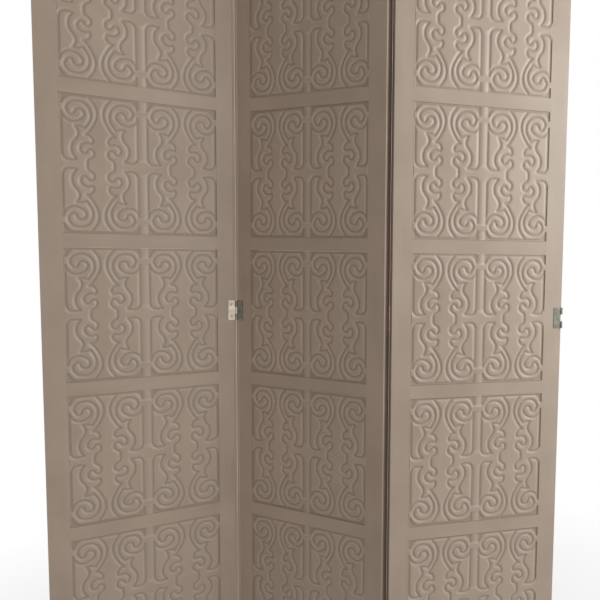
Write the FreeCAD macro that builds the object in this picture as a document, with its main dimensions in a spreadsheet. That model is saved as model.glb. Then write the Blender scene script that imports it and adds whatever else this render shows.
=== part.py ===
"""Three-leaf folding screen: carved boards in grooved frames, hung on fixed-pin butt hinges."""
import FreeCAD
import Part
import Sketcher
import math
import os
from types import SimpleNamespace

# Driving angles, degrees: how far each leaf stands turned from the screen's length
ANGLES = (
    ("left_leaf_angle", 32.0),
    ("middle_leaf_angle", -21.5),
    ("right_leaf_angle", 17.0),
)

# Driving sizes, millimetres
SIZES = (
    # Each leaf, its stiles and its rails
    ("leaf_width", 430.0),
    ("leaf_thickness", 25.0),
    ("stile_width", 46.0),
    ("arris_width", 0.4),
    ("foot_height", 12.0),
    ("bottom_rail_height", 56.0),
    ("cross_rail_height", 32.0),
    ("top_rail_height", 69.0),
    ("tenon_length", 24.0),
    ("tenon_haunch", 10.0),
    ("groove_width", 6.0),
    ("groove_depth", 8.0),
    ("wood_clearance", 0.2),
    # Carved boards
    ("board_height", 313.0),
    ("mullion_width", 15.0),
    ("carve_width", 6.0),
    ("carve_depth", 3.0),
    ("corner_pocket_width", 22.0),
    ("corner_pocket_height", 25.0),
    ("corner_pocket_round", 36.0),
    # Hinges and their pins
    ("hinge_height", 51.0),
    ("hinge_leaf_width", 20.0),
    ("hinge_leaf_thickness", 1.4),
    ("hinge_axis_height", 1.6),
    ("hinge_end_distance", 82.0),
    ("leaf_gap", 0.6),
    ("knuckle_radius", 2.9),
    ("knuckle_clearance", 0.1),
    ("knuckle_relief", 0.4),
    ("pin_radius", 1.4),
    ("pin_clearance", 0.05),
    # How far a cut runs past the face that it opens
    ("cut_overrun", 1.0),
)

ROWS = 5
KNUCKLES = 3
HALF_TURN = 180.0
LEFT, RIGHT = "left", "right"
FRONT, BACK = "front", "back"
ACROSS = FreeCAD.Vector(1, 0, 0)
BACKWARD = FreeCAD.Vector(0, 1, 0)
UPWARD = FreeCAD.Vector(0, 0, 1)


class Size:
    """A length with the sheet expression that it comes from."""

    def __init__(self, value, text):
        self.value = value
        self.text = text

    def __add__(self, other):
        return Size(self.value + other.value, "(%s + %s)" % (self.text, other.text))

    def __sub__(self, other):
        return Size(self.value - other.value, "(%s - %s)" % (self.text, other.text))

    def __neg__(self):
        return Size(-self.value, "(-%s)" % self.text)

    def __rmul__(self, factor):
        return Size(factor * self.value, "(%r * %s)" % (factor, self.text))

    def __truediv__(self, divisor):
        return Size(self.value / divisor, "(%s / %r)" % (self.text, divisor))


ZERO = Size(0.0, "0")


def make_sheet(doc):
    """Put the driving sizes and angles in a sheet and return them by name."""
    sheet = doc.addObject("Spreadsheet::Sheet", "sizes")
    named = {}
    for row, (name, value) in enumerate(SIZES + ANGLES, start=1):
        sheet.set("A%d" % row, name)
        sheet.set("B%d" % row, str(value))
        sheet.setAlias("B%d" % row, name)
        named[name] = Size(value, "sizes." + name)
    doc.recompute()
    return SimpleNamespace(**named)


def add_derived_sizes(s):
    """Work out the sizes that several pieces share."""
    s.rail_length = s.leaf_width - 2 * s.stile_width
    s.groove_front = (s.leaf_thickness - s.groove_width) / 2
    s.groove_back = s.groove_front + s.groove_width
    s.row_pitch = s.board_height + s.cross_rail_height
    s.first_row_base = s.foot_height + s.bottom_rail_height
    s.top_rail_base = s.first_row_base + ROWS * s.row_pitch - s.cross_rail_height
    s.leaf_height = s.top_rail_base + s.top_rail_height
    s.mortise_depth = s.tenon_length + s.wood_clearance
    s.cross_tenon_base = s.groove_depth + s.wood_clearance
    s.knuckle_pitch = s.hinge_height / KNUCKLES
    s.knuckle_space = s.knuckle_radius + s.knuckle_relief
    s.bore_radius = s.pin_radius + s.pin_clearance
    s.hinge_heights = (
        s.hinge_end_distance,
        s.leaf_height / 2,
        s.leaf_height - s.hinge_end_distance,
    )


# Sketch and feature helpers

def origin_plane(body, role):
    """One of the body's own origin planes."""
    return next(item for item in body.Origin.OriginFeatures if item.Role == role)


def new_body(name):
    """A part-design body whose label names its file."""
    body = doc.addObject("PartDesign::Body", name)
    body.Label = name
    return body


class Drawing:
    """A sketch on an origin plane of a body, moved along the plane's normal."""

    def __init__(self, body, name, role, offset=ZERO):
        self.sketch = body.newObject("Sketcher::SketchObject", name)
        self.sketch.AttachmentSupport = (origin_plane(body, role), [""])
        self.sketch.MapMode = "FlatFace"
        if offset.text != ZERO.text:
            self.sketch.setExpression("AttachmentOffset.Base.z", offset.text)
        self.shapes = []
        self.constraints = []
        self.bindings = []

    def draw(self, shape):
        """Keep a line, arc or circle and return its number."""
        self.shapes.append(shape)
        return len(self.shapes) - 1

    def hold(self, *terms):
        """Keep a constraint that has no size."""
        self.constraints.append(Sketcher.Constraint(*terms))

    def bind(self, size, *terms):
        """Keep a constraint whose size is tied to the sheet."""
        constraint = Sketcher.Constraint(*terms, size.value)
        constraint.Name = "size_%d" % len(self.bindings)
        self.constraints.append(constraint)
        self.bindings.append((constraint.Name, size.text))

    def place_point(self, edge, end, across, up):
        """Fix one end of an edge at its distances from the sketch's origin."""
        for size, kind, axis in ((across, "DistanceX", -2), (up, "DistanceY", -1)):
            if size.text == ZERO.text:
                self.hold("PointOnObject", edge, end, axis)
            elif size.value > 0:
                self.bind(size, kind, -1, 1, edge, end)
            else:
                self.bind(-size, kind, edge, end, -1, 1)

    def outline(self, corners, bends=None):
        """Draw a closed outline; bends maps an edge's number to its radius and turn."""
        bends = bends or {}
        first = len(self.shapes)
        count = len(corners)
        ends = []
        for number, corner in enumerate(corners):
            start = flat_point(corner)
            end = flat_point(corners[(number + 1) % count])
            if number in bends:
                radius, bend = bends[number]
                edge = self.draw(arc_between(start, end, radius.value, bend))
                self.bind(radius, "Radius", edge)
                ends.append((1, 2)[::bend])
            else:
                self.draw(Part.LineSegment(start, end))
                ends.append((1, 2))
        for number, corner in enumerate(corners):
            before = (number - 1) % count
            self.hold("Coincident", first + before, ends[before][1], first + number, ends[number][0])
            self.place_point(first + number, ends[number][0], *corner)

    def rectangle(self, low, high):
        """Draw a rectangle between two opposite corners."""
        self.outline((low, (high[0], low[1]), high, (low[0], high[1])))

    def circle(self, centre, radius):
        """Draw a circle."""
        edge = self.draw(Part.Circle(flat_point(centre), UPWARD, radius.value))
        self.bind(radius, "Radius", edge)
        if centre[0].text == ZERO.text and centre[1].text == ZERO.text:
            self.hold("Coincident", edge, 3, -1, 1)
        else:
            self.place_point(edge, 3, *centre)

    def finish(self):
        """Put everything into the sketch at once and return it."""
        self.sketch.addGeometry(self.shapes, False)
        self.sketch.addConstraint(self.constraints)
        for name, text in self.bindings:
            self.sketch.setExpression("Constraints." + name, text)
        return self.sketch


def flat_point(corner):
    """A corner's place in the sketch plane."""
    return FreeCAD.Vector(corner[0].value, corner[1].value, 0)


def arc_between(start, end, radius, bend):
    """The short arc from start to end; bend is 1 for a left turn and -1 for a right one."""
    chord = end - start
    left = FreeCAD.Vector(-chord.y, chord.x, 0).normalize()
    rise = math.sqrt(radius ** 2 - (chord.Length / 2) ** 2)
    centre = (start + end) / 2 + left * bend * rise
    angles = [math.atan2(p.y - centre.y, p.x - centre.x) for p in (start, end)]
    return Part.ArcOfCircle(Part.Circle(centre, UPWARD, radius), *angles[::bend])


def pad(body, name, drawing, length, reverse=False):
    """Raise a drawing into a solid."""
    sketch = drawing.finish()
    feature = body.newObject("PartDesign::Pad", name)
    feature.Profile = sketch
    feature.setExpression("Length", length.text)
    feature.Reversed = reverse
    return feature


def pocket(body, name, drawing, length, reverse=False):
    """Cut a drawing into the solid."""
    sketch = drawing.finish()
    feature = body.newObject("PartDesign::Pocket", name)
    feature.Profile = sketch
    feature.setExpression("Length", length.text)
    feature.Reversed = reverse
    cuts.append(feature)
    return feature


# Frame pieces, each in its own leaf's directions: x across, y back from the front face, z up

def make_stile(name, hinge_face=None):
    """A grooved upright with its outer edge at x = 0 and six mortises in the other edge."""
    body = new_body(name)
    thickness, arris = s.leaf_thickness, s.arris_width
    profile = Drawing(body, name + "_profile", "XY_Plane")
    profile.outline((
        (arris, ZERO),
        (s.stile_width, ZERO),
        (s.stile_width, thickness),
        (arris, thickness),
        (ZERO, thickness - arris),
        (ZERO, arris),
    ))
    pad(body, name + "_bar", profile, s.leaf_height)

    groove = Drawing(body, name + "_groove_outline", "YZ_Plane", s.stile_width)
    groove.rectangle((s.groove_front, s.first_row_base - s.groove_depth),
                     (s.groove_back, s.top_rail_base + s.groove_depth))
    pocket(body, name + "_groove", groove, s.groove_depth)

    mortises = Drawing(body, name + "_mortise_outlines", "YZ_Plane", s.stile_width)
    for low, high in tenon_spans():
        mortises.rectangle((s.groove_front, low - s.wood_clearance),
                           (s.groove_back, high + s.wood_clearance))
    pocket(body, name + "_mortises", mortises, s.mortise_depth)

    if hinge_face:
        add_barrel_beds(body, name, hinge_face)
    return body


def tenon_spans():
    """The height of each rail's tenon above the floor, from the bottom rail up."""
    spans = [(s.foot_height + s.tenon_haunch, s.first_row_base - s.cross_tenon_base)]
    for row in range(1, ROWS):
        base = s.first_row_base + row * s.row_pitch - s.cross_rail_height
        spans.append((base + s.cross_tenon_base, base + s.cross_rail_height - s.cross_tenon_base))
    spans.append((s.top_rail_base + s.cross_tenon_base, s.leaf_height - s.tenon_haunch))
    return spans


def add_barrel_beds(body, name, face):
    """Ease one arris of a stile where the three hinges' barrels turn."""
    plane = ZERO if face == FRONT else -s.leaf_thickness
    beds = Drawing(body, name + "_barrel_bed_outlines", "XZ_Plane", plane)
    half = s.hinge_height / 2 + s.wood_clearance
    for height in s.hinge_heights:
        beds.rectangle((-s.cut_overrun, height - half), (s.knuckle_space - s.leaf_gap / 2, height + half))
    pocket(body, name + "_barrel_beds", beds, s.knuckle_space - s.hinge_axis_height, face == BACK)


def make_rail(name, height, tenon, grooved_below, grooved_above):
    """A rail with a tenon at each end, grooved along the edges that hold a board."""
    body = new_body(name)
    front, back, depth, thickness = s.groove_front, s.groove_back, s.groove_depth, s.leaf_thickness
    corners = [(ZERO, ZERO)]
    if grooved_below:
        corners += [(front, ZERO), (front, depth), (back, depth), (back, ZERO)]
    corners += [(thickness, ZERO), (thickness, height)]
    if grooved_above:
        corners += [(back, height), (back, height - depth), (front, height - depth), (front, height)]
    corners += [(ZERO, height)]
    profile = Drawing(body, name + "_profile", "YZ_Plane")
    profile.outline(corners)
    pad(body, name + "_bar", profile, s.rail_length)

    tongue = Drawing(body, name + "_tenon_outline", "YZ_Plane", -s.tenon_length)
    tongue.rectangle((front + s.wood_clearance, tenon[0]), (back - s.wood_clearance, tenon[1]))
    pad(body, name + "_tenons", tongue, s.rail_length + 2 * s.tenon_length)
    return body


def make_board(name):
    """A carved board about its own centre: a raised field in front of a tongue on all four edges."""
    body = new_body(name)
    field = (s.rail_length / 2 - s.wood_clearance, s.board_height / 2 - s.wood_clearance)
    reach = s.groove_depth - 2 * s.wood_clearance
    tongue = (field[0] + reach, field[1] + reach)
    tongue_outline = Drawing(body, name + "_tongue_outline", "XZ_Plane", -s.groove_back + s.wood_clearance)
    tongue_outline.rectangle((-tongue[0], -tongue[1]), tongue)
    pad(body, name + "_tongue", tongue_outline, s.groove_width - 2 * s.wood_clearance)

    field_outline = Drawing(body, name + "_field_outline", "XZ_Plane")
    field_outline.rectangle((-field[0], -field[1]), field)
    pad(body, name + "_field", field_outline, s.groove_front + s.wood_clearance, True)

    carving = Drawing(body, name + "_carving_outlines", "XZ_Plane")
    for side in (-1, 1):
        add_cell_border(carving, field, side)
    pocket(body, name + "_carving", carving, s.carve_depth)
    return body


def add_cell_border(drawing, field, side):
    """Outline the sunk border round one carved cell: side -1 is the left one and 1 the right one."""
    inner = s.mullion_width / 2
    outer, top = field
    past_top = top + s.cut_overrun
    drawing.rectangle((side * inner, -past_top), (side * (outer + s.cut_overrun), past_top))

    near, far = inner + s.carve_width, outer - s.carve_width
    near_corner, far_corner = inner + s.corner_pocket_width, outer - s.corner_pocket_width
    edge, edge_corner = top - s.carve_width, top - s.corner_pocket_height
    corners = (
        (near_corner, -edge),
        (far_corner, -edge),
        (far, -edge_corner),
        (far, edge_corner),
        (far_corner, edge),
        (near_corner, edge),
        (near, edge_corner),
        (near, -edge_corner),
    )
    rounded = (s.corner_pocket_round, side)
    drawing.outline([(side * x, z) for x, z in corners], dict.fromkeys((1, 3, 5, 7), rounded))


# Hinge pieces, about the pin's axis: the leaf reaches along x, on the wood's face at y = hinge_axis_height

def make_hinge_leaf(name, slots):
    """A hinge leaf with its knuckles; slots numbers the knuckles that belong to the other leaf."""
    body = new_body(name)
    half = s.hinge_height / 2
    barrel = Drawing(body, name + "_barrel_outline", "XY_Plane", -half)
    barrel.circle((ZERO, ZERO), s.knuckle_radius)
    pad(body, name + "_barrel", barrel, s.hinge_height)

    plate = Drawing(body, name + "_plate_outline", "XY_Plane", -half)
    face = s.hinge_axis_height
    plate.rectangle((s.pin_radius, face - s.hinge_leaf_thickness), (s.hinge_leaf_width, face))
    pad(body, name + "_plate", plate, s.hinge_height)

    past_barrel = s.knuckle_radius + s.cut_overrun
    gaps = Drawing(body, name + "_knuckle_gaps_outline", "XZ_Plane", -past_barrel)
    for slot in slots:
        low = slot * s.knuckle_pitch - half - s.knuckle_clearance
        high = low + s.knuckle_pitch + 2 * s.knuckle_clearance
        gaps.rectangle((-s.knuckle_space, low), (s.knuckle_space, high))
    pocket(body, name + "_knuckle_gaps", gaps, 2 * past_barrel, True)
    return body


def make_bored_leaf(name, slots):
    """A hinge leaf whose knuckles are bored for the pin."""
    body = make_hinge_leaf(name, slots)
    bore = Drawing(body, name + "_bore_outline", "XY_Plane", s.hinge_height / 2)
    bore.circle((ZERO, ZERO), s.bore_radius)
    pocket(body, name + "_bore", bore, s.hinge_height)
    return body


def make_pinned_leaf(name, slots):
    """A hinge leaf with the pin fixed in its knuckles."""
    body = make_hinge_leaf(name, slots)
    pin = Drawing(body, name + "_pin_outline", "XY_Plane", -s.hinge_height / 2)
    pin.circle((ZERO, ZERO), s.pin_radius)
    pad(body, name + "_pin", pin, s.hinge_height)
    return body


# Places

def move(x, y, z):
    """A shift along a leaf's own directions."""
    return FreeCAD.Placement(FreeCAD.Vector(x.value, y.value, z.value), FreeCAD.Rotation())


def turn(axis, degrees):
    """A turn about an axis through the origin."""
    return FreeCAD.Placement(FreeCAD.Vector(), FreeCAD.Rotation(axis, degrees))


# How a hinge leaf is turned over to lie on each edge and face of a screen leaf
HINGE_TURNS = {
    (LEFT, FRONT): turn(UPWARD, 0),
    (RIGHT, FRONT): turn(BACKWARD, HALF_TURN),
    (RIGHT, BACK): turn(UPWARD, HALF_TURN),
    (LEFT, BACK): turn(ACROSS, HALF_TURN),
}


def hinge_axis(edge, face):
    """Where a pin's axis stands beside a screen leaf, at floor level."""
    x = -s.leaf_gap / 2 if edge == LEFT else s.leaf_width + s.leaf_gap / 2
    y = -s.hinge_axis_height if face == FRONT else s.leaf_thickness + s.hinge_axis_height
    return move(x, y, ZERO)


def leaf_places():
    """The place of each screen leaf: the outer two hang on the middle one's hinge axes."""
    middle = turn(UPWARD, s.middle_leaf_angle.value)
    places = {"middle": middle}
    for name, angle, own, carrier in (
        ("left", s.left_leaf_angle, (RIGHT, FRONT), (LEFT, FRONT)),
        ("right", s.right_leaf_angle, (LEFT, BACK), (RIGHT, BACK)),
    ):
        axis = middle * hinge_axis(*carrier)
        swing = turn(UPWARD, angle.value - s.middle_leaf_angle.value)
        places[name] = axis * swing * hinge_axis(*own).inverse()
    return places


# Assembly

def make_patterns():
    """Make each kind of wooden piece once, to be repeated in every leaf."""
    own = s.cross_tenon_base
    haunch = s.tenon_haunch
    bottom, cross, top = s.bottom_rail_height, s.cross_rail_height, s.top_rail_height
    return SimpleNamespace(
        stile=make_stile("pattern_stile"),
        stile_hinged_front=make_stile("pattern_stile_hinged_front", FRONT),
        stile_hinged_back=make_stile("pattern_stile_hinged_back", BACK),
        bottom_rail=make_rail("pattern_bottom_rail", bottom, (haunch, bottom - own), False, True),
        cross_rail=make_rail("pattern_cross_rail", cross, (own, cross - own), True, True),
        top_rail=make_rail("pattern_top_rail", top, (own, top - haunch), True, False),
        board=make_board("pattern_carved_board"),
    )


def clone(name, pattern, place):
    """A body that repeats a pattern piece at a place of its own."""
    body = new_body(name)
    feature = body.newObject("PartDesign::FeatureBase", name + "_clone")
    feature.BaseFeature = pattern
    body.Tip = feature
    body.Placement = place
    return body


def build_leaf(leaf, place, left_stile, right_stile):
    """Make the frame and the carved boards of one screen leaf."""
    prefix = leaf + "_leaf_"
    turned_over = move(s.leaf_width, s.leaf_thickness, ZERO) * turn(UPWARD, HALF_TURN)
    bottom = move(s.stile_width, ZERO, s.foot_height)
    top = move(s.stile_width, ZERO, s.top_rail_base)
    pieces = [
        clone(prefix + "left_stile", left_stile, place),
        clone(prefix + "right_stile", right_stile, place * turned_over),
        clone(prefix + "bottom_rail", patterns.bottom_rail, place * bottom),
        clone(prefix + "top_rail", patterns.top_rail, place * top),
    ]
    for row in range(1, ROWS):
        base = move(s.stile_width, ZERO, s.first_row_base + row * s.row_pitch - s.cross_rail_height)
        pieces.append(clone(prefix + "cross_rail_%d" % row, patterns.cross_rail, place * base))
    for row in range(ROWS):
        height = s.first_row_base + row * s.row_pitch + s.board_height / 2
        centre = move(s.leaf_width / 2, ZERO, height)
        pieces.append(clone(prefix + "carved_board_%d" % (row + 1), patterns.board, place * centre))
    return pieces


def group(name, shapes):
    """One node that holds several like pieces as separate solids."""
    feature = doc.addObject("Part::Feature", name)
    feature.Label = name
    feature.Shape = Part.makeCompound(shapes)
    return feature


def copies(pattern, places):
    """Copies of a pattern piece at each place."""
    shapes = []
    for place in places:
        shape = pattern.Shape.copy()
        shape.Placement = place
        shapes.append(shape)
    return shapes


def hinge_places(place, edge, face):
    """The three places of the hinge leaves along one edge of a screen leaf."""
    axis = place * hinge_axis(edge, face)
    return [axis * move(ZERO, ZERO, height) * HINGE_TURNS[edge, face] for height in s.hinge_heights]


def build_hinges(places):
    """Make both folds' hinges and the free edge's hinge leaves."""
    inner_slots = range(1, KNUCKLES, 2)
    outer_slots = range(0, KNUCKLES, 2)
    pinned = make_pinned_leaf("pattern_pinned_leaf", inner_slots)
    bored = make_bored_leaf("pattern_bored_leaf", outer_slots)
    spare = make_bored_leaf("pattern_spare_leaf", inner_slots)
    doc.recompute()
    return [
        group("left_fold_hinge_leaves_left", copies(bored, hinge_places(places["left"], RIGHT, FRONT))),
        group("left_fold_hinge_leaves_middle", copies(pinned, hinge_places(places["middle"], LEFT, FRONT))),
        group("right_fold_hinge_leaves_middle", copies(pinned, hinge_places(places["middle"], RIGHT, BACK))),
        group("right_fold_hinge_leaves_right", copies(bored, hinge_places(places["right"], LEFT, BACK))),
        group("free_edge_hinge_leaves", copies(spare, hinge_places(places["right"], RIGHT, FRONT))),
    ]


def centre_on_floor(pieces):
    """Move every piece so that the origin is at the bottom centre of the whole screen's box."""
    box = FreeCAD.BoundBox()
    for piece in pieces:
        box.add(piece.Shape.optimalBoundingBox(False))
    shift = FreeCAD.Placement(FreeCAD.Vector(-box.Center.x, -box.Center.y, -box.ZMin), FreeCAD.Rotation())
    for piece in pieces:
        piece.Placement = shift * piece.Placement
    return shift


def check_features():
    """Stop if any feature failed or any cut took nothing away."""
    for item in doc.Objects:
        if {"Invalid", "Error"} & set(item.State):
            raise RuntimeError("failed feature: " + item.Name)
    for cut in cuts:
        if not cut.Shape.Volume < cut.BaseFeature.Shape.Volume:
            raise RuntimeError("cut takes nothing away: " + cut.Name)


def export(pieces):
    """Write each piece to its own file once all of them are sound."""
    for piece in pieces:
        if piece.Shape.isNull() or not piece.Shape.isValid():
            raise RuntimeError("bad shape: " + piece.Label)
    os.makedirs("parts", exist_ok=True)
    for piece in pieces:
        piece.Shape.exportStep("parts/" + piece.Label + ".step")


def print_axes(shift, places):
    """Print where the pins' axes stand, for the record."""
    for name, place, edge, face in (
        ("left_fold", places["middle"], LEFT, FRONT),
        ("right_fold", places["middle"], RIGHT, BACK),
        ("free_edge", places["right"], RIGHT, FRONT),
    ):
        base = (shift * place * hinge_axis(edge, face)).Base
        print("axis", name, round(base.x, 4), round(base.y, 4))
    print("heights", [height.value for height in s.hinge_heights], "leaf", s.leaf_height.value)


doc = FreeCAD.newDocument("folding_screen")
cuts = []
s = make_sheet(doc)
add_derived_sizes(s)
leaf_place = leaf_places()
patterns = make_patterns()
doc.recompute()
front_hinged, back_hinged = patterns.stile_hinged_front, patterns.stile_hinged_back
screen = build_leaf("left", leaf_place["left"], patterns.stile, back_hinged)
screen += build_leaf("middle", leaf_place["middle"], front_hinged, front_hinged)
screen += build_leaf("right", leaf_place["right"], back_hinged, back_hinged)
doc.recompute()
screen += build_hinges(leaf_place)
doc.recompute()
check_features()
floor_shift = centre_on_floor(screen)
doc.recompute()
export(screen)
print_axes(floor_shift, leaf_place)
print("pieces", len(screen))
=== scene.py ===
"""Dresses the folding screen: carved boards, paint, hinge screws, light, floor and camera."""

import math
from collections import namedtuple
from types import SimpleNamespace

import bpy
import numpy as np
from mathutils import Matrix, Vector


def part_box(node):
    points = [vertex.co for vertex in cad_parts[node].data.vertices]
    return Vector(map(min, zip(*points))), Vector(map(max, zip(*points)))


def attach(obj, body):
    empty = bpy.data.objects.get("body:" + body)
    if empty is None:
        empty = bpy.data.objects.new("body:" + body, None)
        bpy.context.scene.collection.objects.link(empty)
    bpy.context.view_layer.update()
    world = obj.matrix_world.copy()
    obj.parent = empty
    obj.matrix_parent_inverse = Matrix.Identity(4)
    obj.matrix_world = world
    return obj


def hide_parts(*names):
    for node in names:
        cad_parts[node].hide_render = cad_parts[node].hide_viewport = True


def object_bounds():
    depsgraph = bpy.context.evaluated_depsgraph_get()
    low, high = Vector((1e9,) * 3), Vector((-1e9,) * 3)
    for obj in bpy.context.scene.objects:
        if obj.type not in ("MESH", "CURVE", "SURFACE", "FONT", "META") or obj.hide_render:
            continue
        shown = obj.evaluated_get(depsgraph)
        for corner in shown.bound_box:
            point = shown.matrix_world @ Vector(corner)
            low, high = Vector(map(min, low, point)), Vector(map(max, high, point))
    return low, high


# What the screen is made of
LEAVES = ("left", "middle", "right")
ROWS = 5
CROSS_RAILS = ROWS - 1

# Hinge leaves: their node, the screen leaf that carries them, the edge and face that they lie on, their
# look; the dark brass is the hinge's own patina on the free edge and painted shade on the middle leaf of the
# left fold
HingeGroup = namedtuple("HingeGroup", "node leaf_name on_right on_front is_aged")
FOLD_HINGES = (
    HingeGroup("left_fold_hinge_leaves_left", "left", True, True, False),
    # Painted shade: these plates take the dark brass because this side of the fold lies in shade
    HingeGroup("left_fold_hinge_leaves_middle", "middle", False, True, True),
    HingeGroup("right_fold_hinge_leaves_middle", "middle", True, False, False),
    HingeGroup("right_fold_hinge_leaves_right", "right", False, False, False),
)
FREE_HINGE = HingeGroup("free_edge_hinge_leaves", "right", True, True, True)
HINGES = FOLD_HINGES + (FREE_HINGE,)

# Carving, in metres
MULLION_WIDTH = 0.015
BORDER_INSET = 0.003
CARVE_DEPTH = 0.003
CARVE_SPREAD = 0.0031
POCKET_SLOPE = 0.0035
FIELD_DEPTH = 0.004
GRID_STEP = 0.002
POINT_SPACING = 0.0006

# Carved lines of a quarter cell, as shares of its width in from the side and its height down from the top
OUTER_SCROLL_SHARES = (
    (0.688, 0.000), (0.752, 0.039), (0.816, 0.082), (0.871, 0.130), (0.904, 0.183), (0.917, 0.241),
    (0.904, 0.300), (0.868, 0.359), (0.816, 0.414), (0.759, 0.466), (0.694, 0.515), (0.610, 0.558),
)
BUD_SHARES = (
    (0.610, 0.558), (0.701, 0.568), (0.765, 0.597), (0.797, 0.639), (0.791, 0.669), (0.759, 0.688),
)
SMALL_VOLUTE_SHARES = (
    (0.759, 0.688), (0.649, 0.678), (0.559, 0.688), (0.488, 0.718), (0.458, 0.760), (0.475, 0.799),
    (0.527, 0.827), (0.591, 0.828), (0.636, 0.802), (0.681, 0.776), (0.746, 0.770), (0.804, 0.796),
    (0.819, 0.835), (0.801, 0.871), (0.739, 0.900), (0.668, 0.926), (0.643, 0.962), (0.643, 1.000),
)
LARGE_VOLUTE_SHARES = (
    (0.000, 0.248), (0.018, 0.287), (0.063, 0.326), (0.140, 0.359), (0.231, 0.376), (0.321, 0.376),
    (0.417, 0.360), (0.501, 0.333), (0.563, 0.297), (0.585, 0.258), (0.572, 0.228), (0.533, 0.202),
    (0.475, 0.188), (0.417, 0.189), (0.366, 0.204), (0.334, 0.232), (0.314, 0.264), (0.263, 0.280),
    (0.205, 0.271), (0.157, 0.241), (0.125, 0.205), (0.127, 0.176), (0.157, 0.140), (0.218, 0.106),
    (0.301, 0.085), (0.411, 0.076), (0.514, 0.083), (0.610, 0.108), (0.688, 0.150), (0.735, 0.202),
    (0.755, 0.254), (0.750, 0.313), (0.716, 0.365), (0.659, 0.411), (0.598, 0.460),
)
NECK_SHARES = ((0.598, 0.460), (0.520, 0.447), (0.430, 0.440), (0.346, 0.440))
INNER_SCROLL_SHARES = (
    (0.346, 0.440), (0.394, 0.483), (0.421, 0.528), (0.417, 0.568), (0.379, 0.613), (0.321, 0.652),
    (0.273, 0.691), (0.247, 0.737), (0.241, 0.786), (0.256, 0.835), (0.301, 0.881), (0.366, 0.926),
)
HOOK_SHARES = (
    (0.366, 0.926), (0.263, 0.934), (0.160, 0.936), (0.076, 0.920), (0.024, 0.887), (0.000, 0.848),
)
SIDE_BORDER_SHARES = ((0.000, 0.241), (0.000, 0.848))
TOP_BORDER_SHARES = ((0.0, 0.0), (1.0, 0.0))
CORNER_BORDER_SHARES = ((0.000, 0.000), (0.000, 0.117))
CARVED_LINES = (
    OUTER_SCROLL_SHARES, BUD_SHARES, SMALL_VOLUTE_SHARES, LARGE_VOLUTE_SHARES, NECK_SHARES,
    INNER_SCROLL_SHARES, HOOK_SHARES, SIDE_BORDER_SHARES, TOP_BORDER_SHARES, CORNER_BORDER_SHARES,
)
POCKET_CENTRE_SHARES = (0.37, 0.176)
POCKET_RADIUS_SHARE = 0.33
POCKET_FOOT_SHARE = 0.13

# Hinge screws, in metres
HINGE_HEIGHT = 0.051
PLATE_PROUD = 0.0014
SCREW_EDGE_DISTANCE = 0.0122
SCREW_SPACING = 0.030
SCREW_RADIUS = 0.0026
SCREW_CROWN = 0.00015
SCREW_SEAT = 0.0003
SCREW_SLOT_WIDTH = 0.0007
SCREW_SIDES = 24

# Beads that close the folds on the hinges' side, in metres
BEAD_WIDTH = 0.006
BEAD_HEIGHT = 0.0015
BEAD_LAP = 0.0002
BEAD_SEAT = 0.0004
BEAD_END_GAP = 0.001
BEAD_SIDES = 8

# Camera, in metres and degrees
CAMERA_PLACE = (0.3298, -1.502, 1.0745)
CAMERA_YAW = 1.821
CAMERA_PITCH = 4.401
CAMERA_ROLL = 0.952
CAMERA_LENS = 37.709
CAMERA_SHIFT = (-0.22, 0.0)
RIGHT_ANGLE = 90.0

# Light, in metres and watts
KEY_PLACE = (1.9, -0.66, 1.6)
KEY_AIM = (0.2, 0.0, 1.05)
KEY_SIZE = 1.0
KEY_POWER = 28.0
BACK_PLACE = (-1.5, 2.0, 1.9)
BACK_AIM = (0.0, 0.1, 0.95)
BACK_SIZE = 1.6
BACK_POWER = 32.0
LAMP_COLOUR = (0.94, 0.98, 1.0)
AMBIENT_STRENGTH = 0.35
AMBIENT_COLOUR = (1.0, 0.87, 0.83, 1.0)
BACKGROUND_STRENGTH = 1.0
WHITE = (1.0, 1.0, 1.0, 1.0)

# Floor, fading to plain white with distance
FLOOR_SIZE = 30.0
FLOOR_DROP = 0.0005
FADE_DISTANCES = (0.7, 1.4)
FADE_SHARES = (0.7, 1.0)

# Noise and grain, as stretches along the leaf, into it and up
NOISE_DETAIL = 4.0
EVEN_GRAIN = (1.0, 1.0, 1.0)
UPRIGHT_GRAIN = (1.0, 1.0, 0.08)
LEVEL_GRAIN = (0.12, 0.12, 1.0)
CARVED_GRAIN = (1.0, 1.0, 0.12)
FULL_RANGE = (0.0, 1.0)

# Paint finish, with painted shade in the carved lines and lighter rims along them that are worn paint and
# painted highlight: noise scales per metre, the ranges that are used of each value, and strengths
MOTTLE_SCALE = 6.0
MOTTLE_RANGE = (0.35, 0.65)
STROKE_SCALE = 40.0
STROKE_RANGE = (0.5, 0.8)
STROKE_STRENGTH = 0.35
# Worn paint and painted highlight: lighter paint on the rims of the carved lines
RIM_WEAR_AND_HIGHLIGHT_RANGE = (0.0, 0.08)
RIM_WEAR_AND_HIGHLIGHT_STRENGTH = 0.6
# Painted shade: the carved lines darken over this range of carve depth
GROOVE_SHADE_RANGE = (0.12, 0.9)
GROOVE_SHADE_STRENGTH = 0.5
GLOSS_RANGE = (0.3, 0.7)
PAINT_ROUGHNESS = (0.42, 0.58)
PAINT_BUMP_STRENGTH = 0.25
PAINT_BUMP_DEPTH = 0.0004

# Brass finish
PATCH_SCALE = 90.0
PATCH_RANGE = (0.35, 0.7)
BRASS_ROUGHNESS = (0.5, 0.36)
BRASS_METALLIC = 0.85
BRASS_BUMP_STRENGTH = 0.15
BRASS_BUMP_DEPTH = 0.0002

# Floor finish
FLOOR_PATCH_SCALE = 1.5
FLOOR_ROUGHNESS = 0.7

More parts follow.
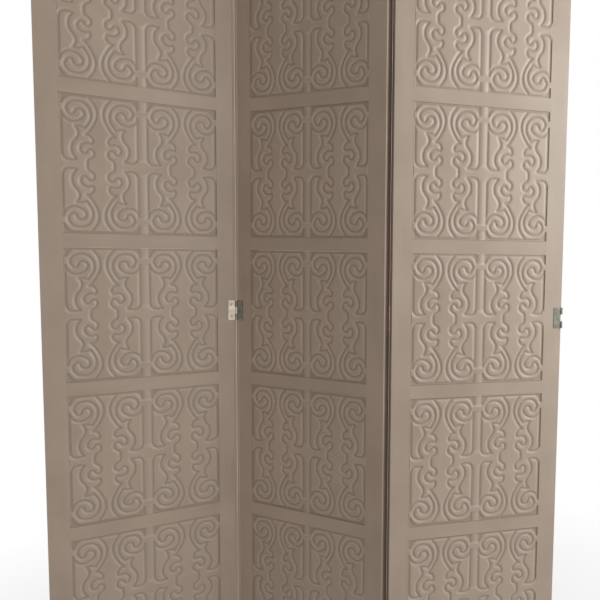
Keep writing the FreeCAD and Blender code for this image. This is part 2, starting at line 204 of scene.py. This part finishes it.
# Paint and metal colours, linear
PAINT_LIGHT = (0.46, 0.375, 0.295, 1.0)
PAINT_DARK = (0.40, 0.32, 0.25, 1.0)
# Painted shade at the bottom of the carved lines
PAINTED_GROOVE_SHADE = (0.23, 0.18, 0.138, 1.0)
# Pale paint for the brush marks, and for the rims of the carved lines, which are worn paint and painted
# highlight
PAINT_PALE_AND_HIGHLIGHT = (0.52, 0.435, 0.35, 1.0)
BRASS_LIGHT = (0.66, 0.57, 0.48, 1.0)
BRASS_DARK = (0.48, 0.40, 0.32, 1.0)
# Dark brass: own patina on the free edge's hinge leaves, painted shade on the middle leaf's plates of the
# left fold
PATINA_AND_SHADE_BRASS_LIGHT = (0.29, 0.275, 0.225, 1.0)
PATINA_AND_SHADE_BRASS_DARK = (0.15, 0.147, 0.118, 1.0)
SCREW_LIGHT = (0.33, 0.27, 0.21, 1.0)
SCREW_DARK = (0.20, 0.16, 0.12, 1.0)
FLOOR_LIGHT = (0.80, 0.80, 0.79, 1.0)
FLOOR_DARK = (0.75, 0.75, 0.74, 1.0)


def node_points(name):
    """World points of a node's own vertices."""
    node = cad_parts[name]
    count = len(node.data.vertices)
    flat = np.empty(count * 3)
    node.data.vertices.foreach_get("co", flat)
    return flat.reshape(count, 3)


def box_centre(name):
    """Middle of a node's box."""
    low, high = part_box(name)
    return (low + high) / 2


def leaf_frame(leaf_name):
    """Directions and limits of one leaf, taken from its two stiles."""
    left_name = f"{leaf_name}_leaf_left_stile"
    right_name = f"{leaf_name}_leaf_right_stile"
    along = box_centre(right_name) - box_centre(left_name)
    along.z = 0
    along.normalize()
    front = along.cross(Vector((0, 0, 1)))
    left_points = node_points(left_name)
    right_points = node_points(right_name)
    depths = left_points @ np.array(front)
    return SimpleNamespace(
        along=along,
        front=front,
        left=float((left_points @ np.array(along)).min()),
        right=float((right_points @ np.array(along)).max()),
        face=float(depths.max()),
        back=float(depths.min()),
    )


def leaf_matrix(leaf, along, out, height):
    """Place on a leaf: X along the leaf, Y into the wood, Z up."""
    place = leaf.along * along + leaf.front * out
    place.z = height
    turn = Matrix((leaf.along, -leaf.front, Vector((0, 0, 1)))).transposed()
    return Matrix.Translation(place) @ turn.to_4x4()


def curve_points(shares, width, height):
    """Points along a smooth line through the given shares of a quarter cell."""
    points = np.array(shares) * (width, height)
    chain = np.vstack((points[0], points, points[-1]))
    spans = []
    for index in range(len(points) - 1):
        start, first, second, end = chain[index:index + 4]
        count = math.ceil(math.dist(first, second) / POINT_SPACING)
        steps = np.linspace(0, 1, count, endpoint=False)[:, None]
        bend = 2 * start - 5 * first + 4 * second - end
        twist = 3 * first - start - 3 * second + end
        spans.append(first + ((second - start) * steps + bend * steps**2 + twist * steps**3) / 2)
    spans.append(points[-1:])
    return np.vstack(spans)


def quarter_depths(across, down, width, height):
    """Carved depth, as a share of the full depth, over a quarter cell."""
    grid = np.stack(np.meshgrid(across, down, indexing="ij"), axis=-1)
    lines = np.vstack([curve_points(shares, width, height) for shares in CARVED_LINES])
    nearest = np.full(grid.shape[:2], np.inf)
    for point in lines:
        nearest = np.minimum(nearest, np.hypot(grid[..., 0] - point[0], grid[..., 1] - point[1]))
    grooves = np.exp(-(nearest / CARVE_SPREAD)**2)
    centre = np.array(POCKET_CENTRE_SHARES) * (width, height)
    from_centre = grid - centre
    outside = np.hypot(from_centre[..., 0], from_centre[..., 1]) - POCKET_RADIUS_SHARE * width
    in_corner = (from_centre[..., 0] < 0) & (grid[..., 1] < POCKET_FOOT_SHARE * height)
    inside_border = np.minimum(grid[..., 0], grid[..., 1]) >= 0
    pocket = np.clip(outside / POCKET_SLOPE, 0, 1) * in_corner * inside_border
    return np.maximum(grooves, pocket)


def mirrored(values, axis):
    """A run of values followed by its own mirror image, sharing the middle one."""
    back = np.flip(values, axis=axis)
    return np.concatenate((values, np.delete(back, 0, axis=axis)), axis=axis)


def board_size(name, leaf):
    """Half width, half height, depth and place of a board's carved field."""
    points = node_points(name)
    out = points @ np.array(leaf.front)
    field = points[out > out.max() - FIELD_DEPTH]
    along = field @ np.array(leaf.along)
    return SimpleNamespace(
        half_width=float(along.max() - along.min()) / 2,
        half_height=float(field[:, 2].max() - field[:, 2].min()) / 2,
        depth=float(out.max() - out.min()),
        along=float(along.max() + along.min()) / 2,
        height=float(field[:, 2].max() + field[:, 2].min()) / 2,
        out=float(out.max()),
    )


def make_board_mesh(size):
    """Carved board: two cells of mirrored scrolls, closed at the sides and back."""
    half_cell = (size.half_width - MULLION_WIDTH / 2) / 2
    columns = round(half_cell / GRID_STEP) + 1
    rows = round(size.half_height / GRID_STEP) + 1
    across = np.linspace(0, half_cell, columns) - BORDER_INSET
    down = np.linspace(0, size.half_height, rows) - BORDER_INSET
    quarter = quarter_depths(across, down, half_cell - BORDER_INSET, size.half_height - BORDER_INSET)
    cell = mirrored(mirrored(quarter, 0), 1)
    cell_places = np.linspace(0, half_cell * 2, cell.shape[0])
    places = np.concatenate((cell_places - size.half_width, cell_places + MULLION_WIDTH / 2))
    heights = np.linspace(-size.half_height, size.half_height, cell.shape[1])
    carve = np.concatenate((cell, cell), axis=0)
    grid_x, grid_z = np.meshgrid(places, heights, indexing="ij")
    front = np.stack((grid_x, carve * CARVE_DEPTH, grid_z), axis=-1).reshape(-1, 3)
    number = np.arange(carve.size).reshape(carve.shape)
    corners = (number[:-1, :-1], number[1:, :-1], number[1:, 1:], number[:-1, 1:])
    quads = np.stack(corners, axis=-1).reshape(-1, 4)
    rim = np.concatenate((number[:-1, 0], number[-1, :-1], number[:0:-1, -1], number[0, :0:-1]))
    behind = front[rim]
    behind[:, 1] = size.depth
    behind_number = np.arange(len(rim)) + len(front)
    sides = np.stack((rim, behind_number, np.roll(behind_number, -1), np.roll(rim, -1)), axis=-1)
    faces = quads.tolist() + sides.tolist() + [behind_number[::-1].tolist()]
    mesh = bpy.data.meshes.new("carved_board")
    mesh.from_pydata(np.vstack((front, behind)).tolist(), [], faces)
    smooth = np.zeros(len(faces), dtype=bool)
    smooth[:len(quads)] = True
    mesh.polygons.foreach_set("use_smooth", smooth)
    shade = mesh.attributes.new("carve", "FLOAT", "POINT")
    shade.data.foreach_set("value", np.concatenate((carve.ravel(), np.zeros(len(rim)))))
    mesh.update()
    return mesh


def add_object(name, mesh, matrix, body):
    """A piece of the screen that moves with a body."""
    piece = bpy.data.objects.new(name, mesh)
    bpy.context.scene.collection.objects.link(piece)
    piece.matrix_world = matrix
    bpy.context.view_layer.update()
    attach(piece, body)
    return piece


def add_boards(leaf_name, leaf, mesh):
    """The carved boards of one leaf, in place of its plain ones."""
    for row in range(1, ROWS + 1):
        node = f"{leaf_name}_leaf_carved_board_{row}"
        size = board_size(node, leaf)
        matrix = leaf_matrix(leaf, size.along, size.out, size.height)
        board = add_object(f"{leaf_name}_carving_{row}", mesh, matrix, f"{leaf_name}_leaf")
        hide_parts(node)


def make_screw_mesh():
    """Low domed screw head with a slot, crown towards minus Y."""
    mesh = bpy.data.meshes.new("hinge_screw")
    half_slot = SCREW_SLOT_WIDTH / 2
    vertices = []
    faces = []
    for side in (-1, 1):
        reach = math.sqrt(SCREW_RADIUS**2 - half_slot**2)
        start = math.atan2(half_slot, reach)
        turns = np.linspace(start, math.pi - start, SCREW_SIDES // 2)[::side]
        outline = [(SCREW_RADIUS * math.cos(turn), side * SCREW_RADIUS * math.sin(turn)) for turn in turns]
        rim = [(x, SCREW_SEAT, z) for x, z in outline]
        crown = [(x, -SCREW_CROWN, z) for x, z in outline]
        low = len(vertices)
        high = low + len(rim)
        vertices += rim + crown
        ring = list(range(len(rim)))
        faces.append([high + index for index in ring])
        faces.append([low + index for index in reversed(ring)])
        for index in ring:
            following = (index + 1) % len(rim)
            faces.append((low + index, low + following, high + following, high + index))
    mesh.from_pydata(vertices, [], faces)
    mesh.update()
    return mesh


def hinge_heights(node):
    """Heights of the three hinges' middles."""
    low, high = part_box(node)
    lowest = low.z + HINGE_HEIGHT / 2
    highest = high.z - HINGE_HEIGHT / 2
    return (lowest, (lowest + highest) / 2, highest)


def add_screws(group, leaf, mesh):
    """Two screws in each of the three hinge leaves of a group."""
    along = leaf.right - SCREW_EDGE_DISTANCE if group.on_right else leaf.left + SCREW_EDGE_DISTANCE
    out = leaf.face + PLATE_PROUD if group.on_front else leaf.back - PLATE_PROUD
    facing = Matrix.Identity(4) if group.on_front else Matrix.Rotation(math.pi, 4, "Z")
    for hinge, height in enumerate(hinge_heights(group.node), 1):
        for screw, side in enumerate((-1, 1), 1):
            name = f"{group.node}_screw_{hinge}_{screw}"
            matrix = leaf_matrix(leaf, along, out, height + side * SCREW_SPACING / 2) @ facing
            head = add_object(name, mesh, matrix, f"{group.leaf_name}_leaf")


def bead_spans(node, bottom, top):
    """Heights of the lengths that a fold's hinges leave free, from the leaf's middle."""
    heights = hinge_heights(node)
    middle = (bottom + top) / 2
    kept_clear = HINGE_HEIGHT / 2 + BEAD_END_GAP
    starts = [bottom + BEAD_END_GAP] + [height + kept_clear for height in heights]
    ends = [height - kept_clear for height in heights] + [top - BEAD_END_GAP]
    return [(start - middle, end - middle) for start, end in zip(starts, ends)]


def make_bead_mesh(spans):
    """Rounded beads about the middle of a stile's outer corner: X past the edge, Y into the wood, Z up."""
    turns = np.linspace(0, math.pi / 2, BEAD_SIDES)
    profile = [(BEAD_LAP, BEAD_SEAT)]
    profile += [(BEAD_LAP - BEAD_WIDTH * math.sin(turn), -BEAD_HEIGHT * math.cos(turn)) for turn in turns]
    profile.append((BEAD_LAP - BEAD_WIDTH, BEAD_SEAT))
    count = len(profile)
    ring = list(range(count))
    vertices = []
    faces = []
    for start, end in spans:
        low = len(vertices)
        high = low + count
        vertices += [(x, y, start) for x, y in profile] + [(x, y, end) for x, y in profile]
        faces.append([low + index for index in ring])
        faces.append([high + index for index in reversed(ring)])
        for index in ring:
            following = (index + 1) % count
            faces.append((low + index, high + index, high + following, low + following))
    mesh = bpy.data.meshes.new("fold_bead")
    mesh.from_pydata(vertices, [], faces)
    mesh.update()
    return mesh


def add_bead(group, leaf, mesh, middle):
    """A bead along one side of a fold; its spans are alike from both ends, so it can be turned over."""
    along = leaf.right if group.on_right else leaf.left
    out = leaf.face if group.on_front else leaf.back
    turned = Matrix.Identity(4)
    if not group.on_right:
        turned = Matrix.Rotation(math.pi, 4, "Y") @ turned
    if not group.on_front:
        turned = Matrix.Rotation(math.pi, 4, "X") @ turned
    name = group.node.replace("hinge_leaves", "bead")
    matrix = leaf_matrix(leaf, along, out, middle) @ turned
    bead = add_object(name, mesh, matrix, f"{group.leaf_name}_leaf")


def new_material(name):
    """A material with its node tree and its shader."""
    material = bpy.data.materials.new(name)
    material.use_nodes = True
    tree = material.node_tree
    shader = tree.nodes["Principled BSDF"]
    return material, tree, shader


def add_noise(tree, scale, stretch):
    """Noise over the piece's own coordinates, different on every piece."""
    places = tree.nodes.new("ShaderNodeTexCoord")
    mapping = tree.nodes.new("ShaderNodeMapping")
    mapping.inputs["Scale"].default_value = stretch
    tree.links.new(places.outputs["Object"], mapping.inputs["Vector"])
    info = tree.nodes.new("ShaderNodeObjectInfo")
    noise = tree.nodes.new("ShaderNodeTexNoise")
    noise.noise_dimensions = "4D"
    noise.inputs["Scale"].default_value = scale
    noise.inputs["Detail"].default_value = NOISE_DETAIL
    tree.links.new(mapping.outputs["Vector"], noise.inputs["Vector"])
    tree.links.new(info.outputs["Random"], noise.inputs["W"])
    return noise.outputs["Fac"]


def spread(tree, value, old_range, new_range=FULL_RANGE):
    """A value moved from one range to another and held within it."""
    ramp = tree.nodes.new("ShaderNodeMapRange")
    ramp.inputs["From Min"].default_value = old_range[0]
    ramp.inputs["From Max"].default_value = old_range[1]
    ramp.inputs["To Min"].default_value = new_range[0]
    ramp.inputs["To Max"].default_value = new_range[1]
    tree.links.new(value, ramp.inputs["Value"])
    return ramp.outputs["Result"]


def blend(tree, share, first, second):
    """Mix of two colours, each a constant or another node's output."""
    mix = tree.nodes.new("ShaderNodeMix")
    mix.data_type = "RGBA"
    sockets = [socket for socket in mix.inputs if socket.type == "RGBA"]
    for socket, colour in zip(sockets, (first, second)):
        if isinstance(colour, tuple):
            socket.default_value = colour
        else:
            tree.links.new(colour, socket)
    tree.links.new(share, mix.inputs["Factor"])
    return next(socket for socket in mix.outputs if socket.type == "RGBA")


def add_bump(tree, shader, height, strength, distance):
    """Fine unevenness of a surface."""
    bump = tree.nodes.new("ShaderNodeBump")
    bump.inputs["Strength"].default_value = strength
    bump.inputs["Distance"].default_value = distance
    tree.links.new(height, bump.inputs["Height"])
    tree.links.new(bump.outputs["Normal"], shader.inputs["Normal"])


def add_carving_shade_and_highlight(tree, colour):
    """Lighter paint on the rims of the carved lines, as worn paint and a painted highlight, and painted
    shade in the lines themselves.
    """
    carve = tree.nodes.new("ShaderNodeAttribute")
    carve.attribute_name = "carve"
    # Worn paint and painted highlight: lighter paint on the rims, where the carving begins
    rim_wear_and_highlight = spread(tree, carve.outputs["Fac"], RIM_WEAR_AND_HIGHLIGHT_RANGE, (0.0, RIM_WEAR_AND_HIGHLIGHT_STRENGTH))
    colour = blend(tree, rim_wear_and_highlight, colour, PAINT_PALE_AND_HIGHLIGHT)
    # Painted shade: the deeper the carving, the darker the paint
    groove_shade = spread(tree, carve.outputs["Fac"], GROOVE_SHADE_RANGE, (0.0, GROOVE_SHADE_STRENGTH))
    return blend(tree, groove_shade, colour, PAINTED_GROOVE_SHADE)


def make_paint(name, grain, carved=False):
    """Satin taupe paint with soft mottling and brush marks along the grain."""
    material, tree, shader = new_material(name)
    mottling = spread(tree, add_noise(tree, MOTTLE_SCALE, EVEN_GRAIN), MOTTLE_RANGE)
    colour = blend(tree, mottling, PAINT_DARK, PAINT_LIGHT)
    strokes = add_noise(tree, STROKE_SCALE, grain)
    brushed = spread(tree, strokes, STROKE_RANGE, (0.0, STROKE_STRENGTH))
    colour = blend(tree, brushed, colour, PAINT_PALE_AND_HIGHLIGHT)
    if carved:
        colour = add_carving_shade_and_highlight(tree, colour)
    tree.links.new(colour, shader.inputs["Base Color"])
    tree.links.new(spread(tree, strokes, GLOSS_RANGE, PAINT_ROUGHNESS), shader.inputs["Roughness"])
    add_bump(tree, shader, strokes, PAINT_BUMP_STRENGTH, PAINT_BUMP_DEPTH)
    return material


def make_brass(name, light, dark):
    """Dull brass, darker in patches."""
    material, tree, shader = new_material(name)
    patches = spread(tree, add_noise(tree, PATCH_SCALE, EVEN_GRAIN), PATCH_RANGE)
    tree.links.new(blend(tree, patches, dark, light), shader.inputs["Base Color"])
    tree.links.new(spread(tree, patches, FULL_RANGE, BRASS_ROUGHNESS), shader.inputs["Roughness"])
    shader.inputs["Metallic"].default_value = BRASS_METALLIC
    add_bump(tree, shader, patches, BRASS_BUMP_STRENGTH, BRASS_BUMP_DEPTH)
    return material


def seen_directly(tree):
    """One for rays from the camera, in reflections and through glass, else zero."""
    path = tree.nodes.new("ShaderNodeLightPath")
    seen = path.outputs["Is Camera Ray"]
    for ray in ("Is Glossy Ray", "Is Transmission Ray"):
        either = tree.nodes.new("ShaderNodeMath")
        either.operation = "MAXIMUM"
        tree.links.new(seen, either.inputs[0])
        tree.links.new(path.outputs[ray], either.inputs[1])
        seen = either.outputs["Value"]
    return seen


def make_floor_paint():
    """Pale floor with the shadow near the screen, plain white further off."""
    material, tree, shader = new_material("pale_floor")
    patches = add_noise(tree, FLOOR_PATCH_SCALE, EVEN_GRAIN)
    tree.links.new(blend(tree, patches, FLOOR_DARK, FLOOR_LIGHT), shader.inputs["Base Color"])
    shader.inputs["Roughness"].default_value = FLOOR_ROUGHNESS
    places = tree.nodes.new("ShaderNodeTexCoord")
    distance = tree.nodes.new("ShaderNodeVectorMath")
    distance.operation = "LENGTH"
    tree.links.new(places.outputs["Object"], distance.inputs[0])
    fade = spread(tree, distance.outputs["Value"], FADE_DISTANCES, FADE_SHARES)
    share = tree.nodes.new("ShaderNodeMath")
    share.operation = "MULTIPLY"
    tree.links.new(fade, share.inputs[0])
    tree.links.new(seen_directly(tree), share.inputs[1])
    glow = tree.nodes.new("ShaderNodeEmission")
    glow.inputs["Color"].default_value = WHITE
    mix = tree.nodes.new("ShaderNodeMixShader")
    tree.links.new(share.outputs["Value"], mix.inputs["Fac"])
    tree.links.new(shader.outputs["BSDF"], mix.inputs[1])
    tree.links.new(glow.outputs["Emission"], mix.inputs[2])
    tree.links.new(mix.outputs["Shader"], tree.nodes["Material Output"].inputs["Surface"])
    return material


def cover(piece, material):
    """Give a piece one material all over."""
    piece.data.materials.clear()
    piece.data.materials.append(material)


def cover_frame_pieces(upright, level):
    """Paint the stiles and rails, each along its own grain."""
    rails = ["bottom_rail", "top_rail"]
    rails += [f"cross_rail_{number}" for number in range(1, CROSS_RAILS + 1)]
    for leaf_name in LEAVES:
        for side in ("left", "right"):
            cover(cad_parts[f"{leaf_name}_leaf_{side}_stile"], upright)
        for rail in rails:
            cover(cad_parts[f"{leaf_name}_leaf_{rail}"], level)


def add_floor():
    """A floor just under the feet, which isn't part of the screen."""
    low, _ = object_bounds()
    half = FLOOR_SIZE / 2
    level = low[2] - FLOOR_DROP
    corners = [(-half, -half, level), (half, -half, level), (half, half, level), (-half, half, level)]
    mesh = bpy.data.meshes.new("floor")
    mesh.from_pydata(corners, [], [(0, 1, 2, 3)])
    floor = bpy.data.objects.new("floor", mesh)
    bpy.context.scene.collection.objects.link(floor)
    cover(floor, make_floor_paint())


def add_soft_lamp(name, place, aim, size, power):
    """A large square lamp turned towards a point."""
    light = bpy.data.lights.new(name, "AREA")
    light.shape = "SQUARE"
    light.size = size
    light.energy = power
    light.color = LAMP_COLOUR
    lamp = bpy.data.objects.new(name, light)
    bpy.context.scene.collection.objects.link(lamp)
    lamp.location = place
    direction = Vector(aim) - Vector(place)
    lamp.rotation_euler = direction.to_track_quat("-Z", "Y").to_euler()


def add_white_surround():
    """Soft light from all round, seen by the camera as plain white."""
    world = bpy.data.worlds.new("surround")
    world.use_nodes = True
    tree = world.node_tree
    background = tree.nodes["Background"]
    seen = seen_directly(tree)
    strength = spread(tree, seen, FULL_RANGE, (AMBIENT_STRENGTH, BACKGROUND_STRENGTH))
    tree.links.new(strength, background.inputs["Strength"])
    tree.links.new(blend(tree, seen, AMBIENT_COLOUR, WHITE), background.inputs["Color"])
    bpy.context.scene.world = world


def add_camera():
    """The photograph's camera."""
    data = bpy.data.cameras.new("camera")
    data.lens = CAMERA_LENS
    data.shift_x, data.shift_y = CAMERA_SHIFT
    camera = bpy.data.objects.new("camera", data)
    bpy.context.scene.collection.objects.link(camera)
    yaw = Matrix.Rotation(math.radians(CAMERA_YAW), 4, "Z")
    pitch = Matrix.Rotation(math.radians(RIGHT_ANGLE - CAMERA_PITCH), 4, "X")
    roll = Matrix.Rotation(math.radians(CAMERA_ROLL), 4, "Z")
    camera.matrix_world = Matrix.Translation(CAMERA_PLACE) @ yaw @ pitch @ roll
    bpy.context.scene.camera = camera


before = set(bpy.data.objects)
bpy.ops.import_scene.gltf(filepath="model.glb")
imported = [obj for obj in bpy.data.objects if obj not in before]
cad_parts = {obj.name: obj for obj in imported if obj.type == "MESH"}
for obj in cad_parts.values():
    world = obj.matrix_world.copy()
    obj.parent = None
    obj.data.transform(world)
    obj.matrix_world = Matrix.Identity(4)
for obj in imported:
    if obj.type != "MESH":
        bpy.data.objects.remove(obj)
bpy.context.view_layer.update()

# Carved boards
leaves = {leaf_name: leaf_frame(leaf_name) for leaf_name in LEAVES}
board_mesh = make_board_mesh(board_size("middle_leaf_carved_board_1", leaves["middle"]))
board_mesh.materials.append(make_paint("carved_paint", CARVED_GRAIN, carved=True))
for leaf_name, leaf in leaves.items():
    add_boards(leaf_name, leaf, board_mesh)

# Frames
upright_paint = make_paint("upright_paint", UPRIGHT_GRAIN)
cover_frame_pieces(upright_paint, make_paint("level_paint", LEVEL_GRAIN))

# Hinges and their screws
brass = make_brass("dull_brass", BRASS_LIGHT, BRASS_DARK)
# The dark copy of the brass is painted shade on the left fold's middle-leaf plates and patina on the free
# edge's leaves
patina_and_shade_brass = make_brass("patina_and_shade_brass", PATINA_AND_SHADE_BRASS_LIGHT, PATINA_AND_SHADE_BRASS_DARK)
screw_mesh = make_screw_mesh()
screw_mesh.materials.append(make_brass("screw_brass", SCREW_LIGHT, SCREW_DARK))
for group in HINGES:
    cover(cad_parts[group.node], patina_and_shade_brass if group.is_aged else brass)
    add_screws(group, leaves[group.leaf_name], screw_mesh)

# Beads along the folds
leaf_low, leaf_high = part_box("middle_leaf_left_stile")
bead_mesh = make_bead_mesh(bead_spans(FOLD_HINGES[0].node, leaf_low.z, leaf_high.z))
bead_mesh.materials.append(upright_paint)
for group in FOLD_HINGES:
    add_bead(group, leaves[group.leaf_name], bead_mesh, (leaf_low.z + leaf_high.z) / 2)

# Stage
add_floor()
add_soft_lamp("key", KEY_PLACE, KEY_AIM, KEY_SIZE, KEY_POWER)
add_soft_lamp("back", BACK_PLACE, BACK_AIM, BACK_SIZE, BACK_POWER)
add_white_surround()
add_camera()
bpy.context.scene.view_settings.view_transform = "Standard"
